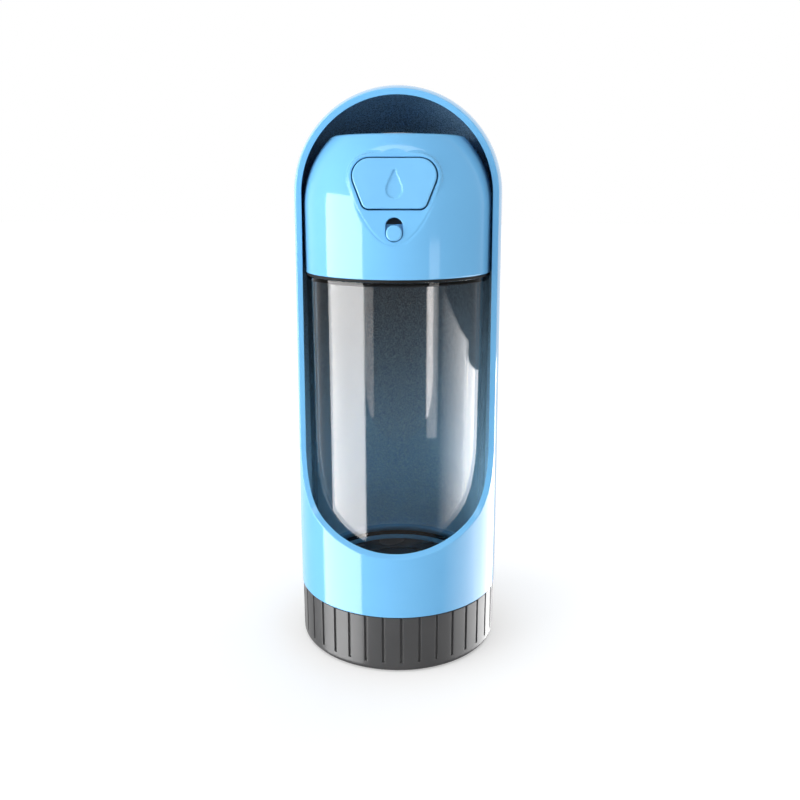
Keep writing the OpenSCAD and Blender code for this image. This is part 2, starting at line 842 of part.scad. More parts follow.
module base_plug() {
    rib = 0.6;
    color(dark_grey) difference() {
        union() {
            translate([0, 0, cap_floor]) cylinder(r = plug_r, h = plug_h);
            ring(plug_ring_r, plug_ring_r - 2 * rib, plug_top, plug_top + rib);
        }
        translate([0, 0, cap_floor - over])
            cylinder(r = plug_r - plug_wall - plug_seal_d / 2, h = plug_h - plug_wall + over);
        ring(plug_r + over, plug_r - plug_seal_d / 2, plug_seal_z - plug_seal_d / 2,
            plug_seal_z + plug_seal_d / 2);
    }
}

module plug_seal() {
    section = plug_seal_d / 2 + plug_clear - 2 * seal_gap;
    color(black) round_ring(tube_in_r - seal_gap - section / 2, section, plug_seal_z);
}

tray_shell();
slide_seal();
bottle_tube();
neck_gasket();
head_housing();
valve_body();
deck_seal();
deck_screws();
outlet_collar();
outlet_seal();
valve_end_plug();
end_plug_seal();
return_spring();
lock_retainer();
retainer_screws();
release_button();
valve_stem();
stem_seal();
valve_washer();
lock_slider();
base_seal();
base_cap();
base_plug();
plug_seal();
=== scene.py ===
# %% [markdown]
# # A telescopic water bottle for a dog
# A clear smoky tube with a blue valve head stands in a blue half-open shell
# and on a dark ribbed cap.  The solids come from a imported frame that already
# has the right sizes and joints.  Here each visible piece gets its finished
# surface: soft edges, moulded grain, gloss and clear plastic.

import math

import bmesh
import bpy
import numpy as np
from mathutils import Matrix, Vector, geometry


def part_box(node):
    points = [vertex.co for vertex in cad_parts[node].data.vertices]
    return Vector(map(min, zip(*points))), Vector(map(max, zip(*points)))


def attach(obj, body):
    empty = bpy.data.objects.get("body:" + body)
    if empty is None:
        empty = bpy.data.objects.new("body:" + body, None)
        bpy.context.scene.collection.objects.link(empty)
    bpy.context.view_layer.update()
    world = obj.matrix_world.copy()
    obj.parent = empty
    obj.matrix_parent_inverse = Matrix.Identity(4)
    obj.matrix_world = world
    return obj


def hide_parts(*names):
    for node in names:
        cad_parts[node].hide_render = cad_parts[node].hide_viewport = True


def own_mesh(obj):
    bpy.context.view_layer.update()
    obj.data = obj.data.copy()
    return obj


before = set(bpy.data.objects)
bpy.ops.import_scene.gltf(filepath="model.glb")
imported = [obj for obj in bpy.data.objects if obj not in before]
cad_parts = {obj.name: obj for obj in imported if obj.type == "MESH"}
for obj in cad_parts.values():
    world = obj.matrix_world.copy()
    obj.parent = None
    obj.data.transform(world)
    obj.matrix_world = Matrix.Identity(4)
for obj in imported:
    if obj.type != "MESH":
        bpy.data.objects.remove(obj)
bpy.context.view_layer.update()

# %% [markdown]
# The frame is in metres, but a moulding is easier to think about in
# millimetres.  So the sizes below are read from the frame's boxes, turned
# into millimetres, and only the finished points are scaled back.

# %% Sizes of the bottle in millimetres
MM = 0.001


def box_mm(node):
    """Lowest and highest corner of a node, in millimetres."""
    low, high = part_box(node)
    return np.array(low) / MM, np.array(high) / MM


tube_low, tube_high = box_mm("bottle_tube")
shell_low, shell_high = box_mm("tray_shell")
head_low, head_high = box_mm("head_housing")
cap_top = box_mm("base_cap")[1][2]
plug_low, plug_high = box_mm("base_plug")
gasket_low, gasket_high = box_mm("neck_gasket")

tube_r = tube_high[0]
head_z = head_low[2]
head_top = head_high[2]
head_r = tube_r + 0.4
print("tube radius", round(tube_r, 2), "head from", round(head_z, 2), "to", round(head_top, 2))

# %% [markdown]
# Every piece is made the same way: a list of points, a list of faces, and a
# weld.  One small function does that, so that the cells below only have to
# say where the points are.  Flat faces next to small rounds need weighted
# normals, or the round's shading would creep over the flat.

# %% A helper that turns points and faces into a piece
WELD = 0.002 * MM


def smooth_mesh(name, points, faces, face_slots=None):
    """A welded, smooth-shaded object from points in millimetres."""
    mesh = bpy.data.meshes.new(name)
    mesh.from_pydata([tuple(np.asarray(p) * MM) for p in points], [], faces)
    if face_slots is not None:
        mesh.polygons.foreach_set("material_index", face_slots)
    work = bmesh.new()
    work.from_mesh(mesh)
    bmesh.ops.remove_doubles(work, verts=work.verts, dist=WELD)
    bmesh.ops.recalc_face_normals(work, faces=work.faces)
    for face in work.faces:
        face.smooth = True
    work.to_mesh(mesh)
    work.free()
    thing = bpy.data.objects.new(name, mesh)
    bpy.context.scene.collection.objects.link(thing)
    weighted = thing.modifiers.new("even_normals", "WEIGHTED_NORMAL")
    weighted.keep_sharp = True
    return thing


def dress(thing, body, node, slot, *materials):
    """Gives a finished piece its body and its materials, and hides the node that it stands for."""
    for material in materials:
        thing.data.materials.append(material)
    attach(thing, body)
    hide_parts(node)
    work = bmesh.new()
    work.from_mesh(thing.data)
    open_edges = sum(1 for edge in work.edges if len(edge.link_faces) != 2)
    work.free()
    print(thing.name, "faces", len(thing.data.polygons), "open edges", open_edges)


# %% [markdown]
# A grid of points becomes a sheet of four-sided faces.  Turned pieces are the
# simplest sheets: a profile in radius and height, repeated round the axis.
# Corners of a profile get a true little round, since no moulded edge is sharp.

# %% Sheets and turned profiles
ROUND_STEPS = 4
TURN_STEPS = 192


def sheet(rows, closed=False):
    """Points and faces of a grid given as a list of rows of points."""
    rows = [list(row) for row in rows]
    width = len(rows[0])
    points = [p for row in rows for p in row]
    faces = []
    for j in range(len(rows) - 1):
        for i in range(width if closed else width - 1):
            a = j * width + i
            b = j * width + (i + 1) % width
            faces.append((a, b, b + width, a + width))
    return points, faces


def join(*parts):
    """One list of points and faces from several."""
    points, faces = [], []
    for part_points, part_faces in parts:
        start = len(points)
        points += list(part_points)
        faces += [tuple(i + start for i in face) for face in part_faces]
    return points, faces


def closed_tube(rows):
    """A tube of rows of points with one flat face on each end."""
    whole = [tuple(range(len(rows[0])))]
    return join(sheet(rows, closed=True), (rows[0], whole), (rows[-1], whole))


def around(count):
    """Angles of a full turn in equal steps."""
    return np.linspace(0, 2 * math.pi, count, endpoint=False)


def smooth_step(t):
    """From 0 to 1 with flat ends."""
    t = np.clip(t, 0, 1)
    return t * t * (3 - 2 * t)


def toward(a, b, distance):
    """Point at a distance from a on the way to b."""
    a, b = np.array(a, float), np.array(b, float)
    return a + (b - a) * distance / np.linalg.norm(b - a)


def soft_corner(before, corner, after):
    """Points of a short curve that rounds a corner."""
    before, corner, after = (np.array(p, float) for p in (before, corner, after))
    return [(1 - t) ** 2 * before + 2 * t * (1 - t) * corner + t * t * after
            for t in np.linspace(0, 1, ROUND_STEPS + 1)]


def rounded(profile, radius, closed=True):
    """A profile with rounded corners; one given as (r, z, own_radius) keeps its own radius."""
    corners = [np.array(c[:2], float) for c in profile]
    radii = [c[2] if len(c) > 2 else radius for c in profile]
    count = len(corners)
    result = []
    for i, corner in enumerate(corners):
        before, after = corners[i - 1], corners[(i + 1) % count]
        if (not closed and i in (0, count - 1)) or radii[i] == 0:
            result.append(corner)
            continue
        result += soft_corner(toward(corner, before, radii[i]), corner,
                              toward(corner, after, radii[i]))
    return result


def turned(profile, closed=True):
    """Sheet made by turning a profile of (radius, height) about Z."""
    if closed:
        profile = list(profile) + [profile[0]]
    rows = [[(r * math.cos(a), r * math.sin(a), z) for a in around(TURN_STEPS)] for r, z in profile]
    return sheet(rows, closed=True)


# %% [markdown]
# ## Finishes
# A finish is a small tree of nodes.  One helper makes a node and fills its
# inputs, with plain numbers or with the outputs of other nodes.  The others
# are the few combinations that the finishes share.

# %% Helpers for node trees
NOISE_MIDDLE = (0.3, 0.7)


def set_inputs(tree, node, inputs):
    """Fills inputs with plain values, or links them to outputs of other nodes."""
    for key, value in inputs.items():
        if isinstance(value, bpy.types.NodeSocket):
            tree.links.new(value, node.inputs[key])
        else:
            node.inputs[key].default_value = value


def add_node(tree, kind, inputs=None, **settings):
    """A node of a kind with its settings and its inputs; gives back its outputs."""
    node = tree.nodes.new("ShaderNode" + kind)
    for key, value in settings.items():
        setattr(node, key, value)
    set_inputs(tree, node, inputs or {})
    return node.outputs


def new_material(name):
    """A node material with its tree and its shader."""
    material = bpy.data.materials.new(name)
    material.use_nodes = True
    return material, material.node_tree, material.node_tree.nodes["Principled BSDF"]


def map_range(tree, value, found, wanted=(0.0, 1.0), way="LINEAR"):
    """Maps a value from the range that it is found in to a wanted one."""
    return add_node(tree, "MapRange", {
        "Value": value, "From Min": found[0], "From Max": found[1],
        "To Min": wanted[0], "To Max": wanted[1]}, interpolation_type=way)["Result"]


def mix(tree, share, none, full, kind="RGBA"):
    """Two colours of three numbers, two numbers or two outputs, mixed by a share."""
    none, full = [(*v, 1) if isinstance(v, tuple) else v for v in (none, full)]
    return add_node(tree, "Mix", {"Factor": share, "A": none, "B": full}, data_type=kind)["Result"]


def calculate(tree, operation, first, second):
    """A sum of two numbers of the named kind."""
    return add_node(tree, "Math", {0: first, 1: second}, operation=operation)["Value"]


def object_place(tree):
    """The place on the object, in its own metres."""
    return add_node(tree, "TexCoord")["Object"]


def by_height(tree, low_mm, high_mm, wanted=(0.0, 1.0)):
    """A value that changes between two heights on the object."""
    height = add_node(tree, "SeparateXYZ", {"Vector": object_place(tree)})["Z"]
    return map_range(tree, height, (low_mm * MM, high_mm * MM), wanted)


def add_noise(tree, scale, detail=3.0, stretch=(1.0, 1.0, 1.0)):
    """Noise on the object, where scale is cells per metre."""
    place = add_node(tree, "Mapping", {"Vector": object_place(tree), "Scale": stretch})["Vector"]
    return add_node(tree, "TexNoise", {"Vector": place, "Scale": scale, "Detail": detail})["Fac"]


def mottle(tree, noise, dark, light):
    """A colour between two near tones by noise."""
    return mix(tree, map_range(tree, noise, NOISE_MIDDLE), dark, light)


def add_bump(tree, height, strength, depth):
    """A normal for a surface that a height lifts by a depth in metres."""
    return add_node(tree, "Bump", {"Height": height, "Strength": strength,
                                   "Distance": depth})["Normal"]


def clear_for(tree, rays, shader, tint=(1.0, 1.0, 1.0, 1.0)):
    """Keeps the shader, but lets the flagged rays through with a tint."""
    clear = add_node(tree, "BsdfTransparent", {"Color": tint})["BSDF"]
    choice = add_node(tree, "MixShader", {"Fac": rays, 1: shader.outputs["BSDF"], 2: clear})
    set_inputs(tree, tree.nodes["Material Output"], {"Surface": choice["Shader"]})


# %% [markdown]
# The blue mouldings are glossy ABS: an even colour, a sharp sheen and a faint
# ripple that only shows in reflections, both from noise.  The cap is a satin
# dark grey, the seals are matt rubber, and of the inner mouldings the hidden
# ones are white and those next to the openings are dark; on the lock's
# retainer behind the slot that dark is painted shade.

# %% Moulded plastics
CLOUDS = 60.0


def moulded_plastic(name, dark, light, rough, grain_mm, depth_mm, specular=0.5):
    """A moulded plastic: two near tones, a range of roughness and a grain of real size."""
    material, tree, shader = new_material(name)
    clouds = add_noise(tree, CLOUDS)
    grain = add_noise(tree, 1 / (grain_mm * MM), detail=2.0)
    set_inputs(tree, shader, {
        "Specular IOR Level": specular,
        "Base Color": mottle(tree, clouds, dark, light),
        "Roughness": map_range(tree, clouds, NOISE_MIDDLE, rough),
        "Normal": add_bump(tree, grain, 0.35, depth_mm * MM)})
    return material


shell_blue = moulded_plastic("shell_blue", (0.175, 0.500, 0.855), (0.185, 0.520, 0.875),
                             (0.09, 0.12), 2.5, 0.003)
head_blue = moulded_plastic("head_blue", (0.178, 0.505, 0.860), (0.188, 0.525, 0.880),
                            (0.06, 0.09), 2.5, 0.003)
button_blue = moulded_plastic("button_blue", (0.185, 0.515, 0.870), (0.195, 0.535, 0.890),
                              (0.20, 0.26), 1.5, 0.004)
cap_grey = moulded_plastic("cap_grey", (0.068, 0.068, 0.070), (0.078, 0.078, 0.080),
                           (0.28, 0.36), 0.6, 0.006)
plug_black = moulded_plastic("plug_black", (0.075, 0.075, 0.077), (0.092, 0.092, 0.095),
                             (0.22, 0.30), 1.2, 0.004)
seal_rubber = moulded_plastic("seal_rubber", (0.012, 0.012, 0.013), (0.022, 0.022, 0.023),
                              (0.60, 0.75), 0.5, 0.01, specular=0.3)
# dark inner mouldings; on the lock's retainer the dark stands in as painted shade for the slot's
# hollow
inner_dark_and_painted_shade = moulded_plastic("inner_dark_and_painted_shade", (0.045, 0.060, 0.075), (0.060, 0.080, 0.100),
                             (0.45, 0.55), 0.8, 0.006, specular=0.3)
inner_white = moulded_plastic("inner_white", (0.74, 0.75, 0.76), (0.80, 0.81, 0.82),
                              (0.38, 0.46), 0.8, 0.006)

# %% [markdown]
# Inside, the shell's mould is spark eroded: a fine matt grain of light and
# dark specks that swallows the light.  Its colour is painted lightest round
# the foot, where the open front lets most light in, and darker up to the dome:
# a painted shade for the shadow under the head and in the dome.

# %% Grained wall with painted shade
PIT_MM = 0.45
grained_blue_painted_shade, tree, shader = new_material("grained_blue_painted_shade")
pits = add_noise(tree, 1 / (PIT_MM * MM), detail=0.0)
# painted shade: from 60 to 120 mm up the wall's tones turn darker, standing in for the shadow under
# the head
rise = by_height(tree, 60, 120)
set_inputs(tree, shader, {
    "Specular IOR Level": 0.3,
    # the first tone of each pair is at the foot, the second is the painted shade near the top
    "Base Color": mottle(tree, pits,
                         mix(tree, rise, (0.250, 0.520, 0.900), (0.110, 0.210, 0.310)),
                         mix(tree, rise, (0.400, 0.800, 1.000), (0.300, 0.510, 0.700))),
    "Roughness": map_range(tree, pits, NOISE_MIDDLE, (0.45, 0.60)),
    "Normal": add_bump(tree, pits, 0.5, 0.06 * MM)})
print("pits of the grain in mm:", PIT_MM)

# %% [markdown]
# The tube is smoky clear plastic.  It is a real wall with an inside and an
# outside face, so a refracting shader gives the double reflections and the
# dark line where the inner wall turns away.  Such a wall would keep the lights
# from what is behind it, so light on its way to a matt surface goes straight
# through, a little weaker towards the top, which paints shade on the wall
# behind the tube's upper part.

# %% Smoky clear plastic and steel
SMOKE_INDEX = 1.49
TOP_SHADE = 0.66
tube_clear, tree, shader = new_material("smoky_clear")
clouds = add_noise(tree, 40.0)
set_inputs(tree, shader, {
    "Transmission Weight": 1.0, "IOR": SMOKE_INDEX,
    "Base Color": mottle(tree, clouds, (0.89, 0.87, 0.86), (0.91, 0.89, 0.88)),
    "Roughness": map_range(tree, clouds, NOISE_MIDDLE, (0.015, 0.03))})
rays = add_node(tree, "LightPath")
lighting = calculate(tree, "MAXIMUM", rays["Is Shadow Ray"], rays["Is Diffuse Ray"])
# painted shade: the light let through is tinted darker towards the top, which shades the wall
# behind the tube's upper part
clear_for(tree, lighting, shader, by_height(tree, 50, 130, (1.0, TOP_SHADE)))


def bright_steel(name, stretch):
    """Steel with fine turning or drawing lines along one axis."""
    material, tree, shader = new_material(name)
    lines = add_noise(tree, 900.0, 2.0, stretch)
    set_inputs(tree, shader, {
        "Metallic": 1.0,
        "Base Color": mottle(tree, lines, (0.55, 0.56, 0.58), (0.66, 0.67, 0.69)),
        "Roughness": map_range(tree, lines, NOISE_MIDDLE, (0.18, 0.32)),
        "Normal": add_bump(tree, lines, 0.2, 0.003 * MM)})
    return material


turned_steel = bright_steel("turned_steel", (1.0, 8.0, 1.0))
drawn_steel = bright_steel("drawn_steel", (1.0, 1.0, 6.0))
print("finishes made:", len(bpy.data.materials))

# %% [markdown]
# ## The tray shell
# The shell is a closed ring, a half tube with a scooped front and a quarter
# ball on top, all 1.9 mm thick.  Cutting a turned shape with a boolean would
# leave a ragged rim, so the rim is drawn first and the walls run from it: each
# row of faces starts on the rim and ends on the lower edge or on the back.

# %% The shell's form as radius by height
ring_r = shell_high[0]
shell_z = shell_low[2]
wall = 1.9
flare = 1.0
ring_top = shell_z + 21.6
dome_r = ring_r - flare
dome_z = shell_high[2] - dome_r
front_cut = 11.3
scoop_slope = math.radians(36.5)
scoop_round = 30.0
ledge_top = shell_z + 5.8
ledge_r = tube_r + 0.3
seal_mid = (shell_z + ledge_top) / 2
seal_half = 0.95
edge_soft = 0.3


def shell_radius(z, inset):
    """Radius of the shell's outside at a height, less an inset."""
    share = np.clip((z - ring_top) / (dome_z - ring_top), 0, 1)
    return ring_r - flare * share - inset


print("dome radius", round(dome_r, 2), "dome centre at", round(dome_z, 2))

# %% The opening's edge seen from the side
scoop_corner_z = ring_top + (ring_r - front_cut) * math.tan(scoop_slope)
scoop_run = scoop_round * math.tan((math.pi / 2 - scoop_slope) / 2)
slant_len = (ring_r - front_cut) / math.cos(scoop_slope) - scoop_run
bend_angle = math.pi / 2 - scoop_slope
bend_len = scoop_round * bend_angle
bend_y = -front_cut - scoop_round
bend_z = scoop_corner_z + scoop_run
upright_len = dome_z - bend_z


def opening_edge(along):
    """Point (y, z) of the opening's edge at a distance from its lip."""
    if along < slant_len:
        return (-ring_r + along * math.cos(scoop_slope), ring_top + along * math.sin(scoop_slope))
    if along < slant_len + bend_len:
        turn = (along - slant_len) / scoop_round - bend_angle
        return (bend_y + scoop_round * math.cos(turn), bend_z + scoop_round * math.sin(turn))
    return (-front_cut, bend_z + along - slant_len - bend_len)


print("edge length in mm:", round(slant_len + bend_len + upright_len, 1))

# %% One wall of the shell, right half
SCOOP_ROWS, UPRIGHT_ROWS, DOME_ROWS, ROW_STEPS = 56, 36, 40, 40


def row_shares(reach):
    """Shares of a row's length, with the second point just behind the rim's soft edge."""
    return [0] + list(np.linspace(edge_soft / reach, 1, ROW_STEPS))


def wall_rows(inset, foot_z):
    """Rows of points from the rim to the foot or the back, for one face of the wall."""
    lip = inset / math.cos(scoop_slope)
    rows = []
    for k in range(SCOOP_ROWS + UPRIGHT_ROWS + 1):
        if k <= SCOOP_ROWS:
            share = k / SCOOP_ROWS
            y, z = opening_edge(lip + (slant_len + bend_len - lip) * share ** 2)
            target = (math.pi * share, foot_z)
        else:
            share = (k - SCOOP_ROWS) / UPRIGHT_ROWS
            y, z = opening_edge(slant_len + bend_len + upright_len * share)
            target = (math.pi, foot_z + (dome_z - foot_z) * share)
        start = (math.acos(np.clip(-y / shell_radius(z, inset), -1, 1)), z)
        reach = math.hypot((target[0] - start[0]) * ring_r, target[1] - start[1])
        row = []
        for u in row_shares(reach):
            angle = start[0] + (target[0] - start[0]) * u
            height = start[1] + (target[1] - start[1]) * u
            r = shell_radius(height, inset)
            row.append((r * math.sin(angle), -r * math.cos(angle), height))
        rows.append(row)
    r = dome_r - inset
    rim_angle = math.acos(front_cut / r)
    for k in range(1, DOME_ROWS + 1):
        lift = math.pi / 2 * k / DOME_ROWS
        row = []
        for u in row_shares(r * (math.pi - rim_angle)):
            angle = rim_angle + (math.pi - rim_angle) * u
            out = r * math.sin(angle)
            row.append((out * math.cos(lift), -r * math.cos(angle), dome_z + out * math.sin(lift)))
        rows.append(row)
    return rows


outside_rows = wall_rows(0, shell_z + edge_soft)
inside_rows = wall_rows(wall, ledge_top)
print("rows from rim:", len(outside_rows), "points in each:", len(outside_rows[0]))

# %% [markdown]
# The rim's flat edge joins the two faces.  Its corners are rolled over a third
# of a millimetre with a short curve from one face to the next, which is what
# catches the thin light line along the real rim.

# %% The rim, the foot and the finished shell
rim_rows = []
for out_row, in_row in zip(outside_rows, inside_rows):
    outer, inner = out_row[0], in_row[0]
    rim_rows.append(soft_corner(out_row[1], outer, toward(outer, inner, edge_soft))
                    + soft_corner(toward(inner, outer, edge_soft), inner, in_row[1]))

seal_r = ledge_r + 2 * seal_half
seal_foot, seal_top = seal_mid - seal_half, seal_mid + seal_half
foot_profile = rounded([
    (ring_r, shell_z + edge_soft, 0), (ring_r, shell_z), (ledge_r, shell_z),
    (ledge_r, seal_foot, 0), (seal_r, seal_foot, 0), (seal_r, seal_top, 0),
    (ledge_r, seal_top, 0), (ledge_r, ledge_top), (ring_r - wall, ledge_top, 0),
], edge_soft, closed=False)
foot_angles = [math.pi * k / SCOOP_ROWS for k in range(SCOOP_ROWS + 1)]
foot_rows = [[(r * math.sin(a), -r * math.cos(a), z) for r, z in foot_profile]
             for a in foot_angles]


def both_halves(points, faces):
    """The given half and its mirror image."""
    mirrored = [(-p[0], p[1], p[2]) for p in points]
    return join((points, faces), (mirrored, faces))


outside = both_halves(*sheet([row[1:] for row in outside_rows]))
inside = both_halves(*sheet([row[1:] for row in inside_rows]))
rim = both_halves(*sheet(rim_rows))
foot = both_halves(*sheet(foot_rows))
shell_points, shell_faces = join(outside, rim, foot, inside)
# the inside faces take the grained wall, whose colour carries painted shade
grained = len(inside[1])
shell = smooth_mesh("shell", shell_points, shell_faces,
                    [0] * (len(shell_faces) - grained) + [1] * grained)
dress(shell, "tray", "tray_shell", "blue_shell", shell_blue, grained_blue_painted_shade)

# %% [markdown]
# ## The clear tube, its seals and the inner plug
# These are turned pieces.  The tube's shoulder and neck sit up inside the
# head, its inside narrows a little below the shoulder, and its foot stands on
# a flat seal in the cap.

# %% Tube and gasket
tube_wall = 2.0
shoulder_z = gasket_low[2]
neck_r = tube_r - 2.0
bore_r, neck_bore_r = tube_r - tube_wall, neck_r - tube_wall
tube_profile = rounded([
    (bore_r, tube_low[2]), (tube_r, tube_low[2]), (tube_r, shoulder_z),
    (neck_r, shoulder_z), (neck_r, tube_high[2]), (neck_bore_r, tube_high[2]),
    (neck_bore_r, shoulder_z + 0.3, 0.5), (bore_r, shoulder_z - 1.3, 0.4),
], 0.3)
tube = smooth_mesh("tube", *turned(tube_profile))
dress(tube, "bottle", "bottle_tube", "smoke_clear", tube_clear)

gasket_gap = 0.1
gasket_r, gasket_bore_r = gasket_high[0] - gasket_gap, neck_r + gasket_gap
gasket_profile = rounded([
    (gasket_bore_r, shoulder_z), (gasket_r, shoulder_z), (gasket_r, gasket_high[2]),
    (gasket_bore_r, gasket_high[2]),
], 0.2)
gasket = smooth_mesh("neck_ring", *turned(gasket_profile))
dress(gasket, "bottle", "neck_gasket", "black_rubber", seal_rubber)

# %% Inner plug with its raised ring
plug_r = plug_high[0]
plug_ring_r = 20.6
plug_ring_in = plug_ring_r - 1.2
rib = 0.6
plug_top = plug_high[2] - rib
rib_top = plug_top + rib
plug_roof, plug_seal_z = plug_top - 2, plug_top - 4
plug_skirt_r, plug_groove_r = plug_r - 3, plug_r - 1
plug_profile = rounded([
    (0, plug_top, 0), (plug_ring_in, plug_top, 0.15), (plug_ring_in, rib_top, 0.25),
    (plug_ring_r, rib_top, 0.25), (plug_ring_r, plug_top, 0.15), (plug_r, plug_top, 0.6),
    (plug_r, plug_seal_z + 1), (plug_groove_r, plug_seal_z + 1, 0.1),
    (plug_groove_r, plug_seal_z - 1, 0.1), (plug_r, plug_seal_z - 1), (plug_r, plug_low[2]),
    (plug_skirt_r, plug_low[2]), (plug_skirt_r, plug_roof, 0.8), (0, plug_roof, 0),
], 0.2, closed=False)
plug = smooth_mesh("inner_plug", *turned(plug_profile, closed=False))
dress(plug, "cap", "base_plug", "dark_plug", plug_black)

# %% [markdown]
# ## The ribbed cap
# Thirty-six shallow grooves give wet hands a grip.  They are moulded in, so
# they are part of the same skin: the skin's points are packed close at each
# groove's edges and moved in towards the axis between them.

# %% Cap skin with grooves
cap_r = ring_r - 0.4
cap_floor = 4.0
cap_bore_r = tube_r + 0.4
GROOVES = 36
groove_half = 0.45
groove_depth = 0.7
groove_foot = 3.6
groove_turn = math.radians(-90 + 4)
groove_edge = 0.12

pitch_len = 2 * math.pi * cap_r / GROOVES
groove_half_steps = [0.2, 0.34, 0.42, 0.5, 0.62, 1.0, pitch_len / 4]
groove_steps = ([-pitch_len / 2] + [-s for s in reversed(groove_half_steps)] + [0]
                + groove_half_steps)


def groove_share(distance, height):
    """How deep the groove is, from 0 on the rib to 1 on its floor."""
    side = smooth_step((groove_half + groove_edge / 2 - abs(distance)) / groove_edge)
    return side * smooth_step((height - groove_foot) / groove_edge)


def cap_row(r, z, grooved):
    """One turn of the cap's skin at a radius and height."""
    row = []
    for g in range(GROOVES):
        for distance in groove_steps:
            angle = groove_turn + (g * pitch_len + distance) / cap_r
            out = r - (groove_depth * groove_share(distance, z) if grooved else 0)
            row.append((out * math.cos(angle), out * math.sin(angle), z))
    return row


cap_edge_r = 2.2
cap_lip = 0.4
foot_recess_r = 26.0
foot_recess = 0.8
skin = [(r, z, False) for r, z in rounded([
    (0, foot_recess, 0), (foot_recess_r, foot_recess, 0.3), (foot_recess_r, 0, 0.4),
    (cap_r - cap_edge_r, 0, 0)], 0.3, closed=False)]
skin += [(cap_r - cap_edge_r + cap_edge_r * math.sin(t),
          cap_edge_r - cap_edge_r * math.cos(t), False)
         for t in np.linspace(0.15, math.pi / 2, 9)]
skin += [(cap_r, z, True) for z in (2.8, 3.4, 3.6, 3.63, 3.66, 3.69, 3.72, 4.2, 7, 10, 13, 16, 19,
                                    cap_top - cap_lip)]
skin += [(cap_r - cap_lip * (1 - math.cos(t)), cap_top - cap_lip + cap_lip * math.sin(t), True)
         for t in np.linspace(0.3, math.pi / 2, 4)]
skin += [(r, z, False) for r, z in rounded([
    (cap_r - 1.2, cap_top, 0), (cap_bore_r, cap_top, 0.3), (cap_bore_r, cap_floor, 0.4),
    (0, cap_floor, 0)], 0.3, closed=False)]
cap = smooth_mesh("ribbed_cap", *sheet([cap_row(*level) for level in skin], closed=True))
dress(cap, "cap", "base_cap", "dark_cap", cap_grey)

# %% [markdown]
# ## The head
# The head is a turned cap with a flat facet leaned back for the thumb, and a
# raised pad round the button.  All of it is one smooth skin.  The turned
# surface is pushed straight back to the facet's plane wherever it stands in
# front of it, and pulled forward to that plane inside the pad's outline, with
# a soft step between.  So the only hard edges are those of the two openings.

# %% The facet's own axes and outlines
facet_lean = math.radians(10.6)
facet_z = head_z + 10.9
across_up = np.array([[1, 0, 0], [0, math.cos(facet_lean), -math.sin(facet_lean)],
                      [0, math.sin(facet_lean), math.cos(facet_lean)]])
facet_origin = np.array([0, -head_r, facet_z])


def from_facet(x, depth, up):
    """World points of places given across, into and up the facet."""
    return facet_origin + np.stack(np.broadcast_arrays(x, depth, up), axis=-1) @ across_up


def to_facet(points):
    """Across, depth and height on the facet of world points."""
    return (np.asarray(points) - facet_origin) @ across_up.T


def on_circle(circle, angle):
    """Point of a circle (x, up, radius) at an angle."""
    return np.array([circle[0] + circle[2] * math.cos(angle),
                     circle[1] + circle[2] * math.sin(angle)])


def outline(corners, grow=0.0, arc=10, straight=10):
    """Points round a convex outline of corner circles (x, up, radius), grown outwards."""
    headings = []
    for this, after in zip(corners, corners[1:] + corners[:1]):
        step = np.subtract(after[:2], this[:2])
        lead = math.acos((this[2] - after[2]) / np.linalg.norm(step))
        headings.append(math.atan2(step[1], step[0]) - lead)
    circles = [(x, up, radius + grow) for x, up, radius in corners]
    result = []
    for this, after, before, heading in zip(circles, circles[1:] + circles[:1],
                                            headings[-1:] + headings[:-1], headings):
        turn = (heading - before) % (2 * math.pi)
        result += [on_circle(this, before + turn * t)
                   for t in np.linspace(0, 1, arc, endpoint=False)]
        start, end = on_circle(this, heading), on_circle(after, heading)
        result += [start + (end - start) * t for t in np.linspace(0, 1, straight, endpoint=False)]
    return np.array(result)


button_low, button_tall = 11.2, 15.5
button_mid, button_top = button_low + button_tall / 2, button_low + button_tall
low_round, top_round = 2.4, 5.4
low_up, top_up = button_low + low_round, button_top - top_round
button_corners = [(-7.9, low_up, low_round), (7.9, low_up, low_round),
                  (7.7, top_up, top_round), (-7.7, top_up, top_round)]
slot_r, slot_low, slot_high = 2.7, 1.0, 8.6
slot_corners = [(0, slot_low + slot_r, slot_r), (0, slot_high - slot_r, slot_r)]
button_gap = 0.4
pad_lip = 1.4
TINY = 1e-12


def side_of(points, loop):
    """Signed distance of flat points to a closed loop, negative inside."""
    points = np.asarray(points, float)
    a, b = loop, np.roll(loop, -1, axis=0)
    edge = b - a
    rel = points[:, None, :] - a[None]
    t = np.clip((rel * edge).sum(-1) / np.maximum((edge * edge).sum(-1), TINY), 0, 1)
    gap = np.linalg.norm(rel - t[..., None] * edge, axis=-1).min(axis=1)
    x, y = points[:, None, 0], points[:, None, 1]
    spans = (a[:, 1] > y) != (b[:, 1] > y)
    rise = np.where(edge[:, 1] == 0, TINY, edge[:, 1])
    cross_x = a[:, 0] + (y - a[:, 1]) * edge[:, 0] / rise
    inside = ((x < cross_x) & spans).sum(axis=1) % 2 == 1
    return np.where(inside, -gap, gap)


print("button outline points:", len(outline(button_corners)))

# %% [markdown]
# The pushed surface is a plain function of the place on the turned cap, so
# any point can be asked for.  A smooth maximum rounds the crease where facet
# and cap meet, and a very shallow valley follows that crease as on the real
# moulding.

# %% The head's skin as a function
dome_start = head_top - math.sqrt(head_r ** 2 - (0.69 * head_r) ** 2)
straight_len = dome_start - head_z
HEAD_WALL = 2.0
CREASE = 0.25
VALLEY, VALLEY_HALF = 0.16, 0.55
PAD_STEP = 0.6
WALK_STEPS, WALK_SHARE = 60, 0.8


def cap_points(flat, inset=0.0):
    """World points on the turned cap of flat points (arc from the front, length up)."""
    angle, along = flat[:, 0] / head_r, flat[:, 1]
    lift = np.maximum(along - straight_len, 0) / head_r
    r = (head_r - inset) * np.cos(lift)
    z = np.minimum(along, straight_len) + head_z + (head_r - inset) * np.sin(lift)
    return np.stack([r * np.sin(angle), -r * np.cos(angle), z], axis=-1)


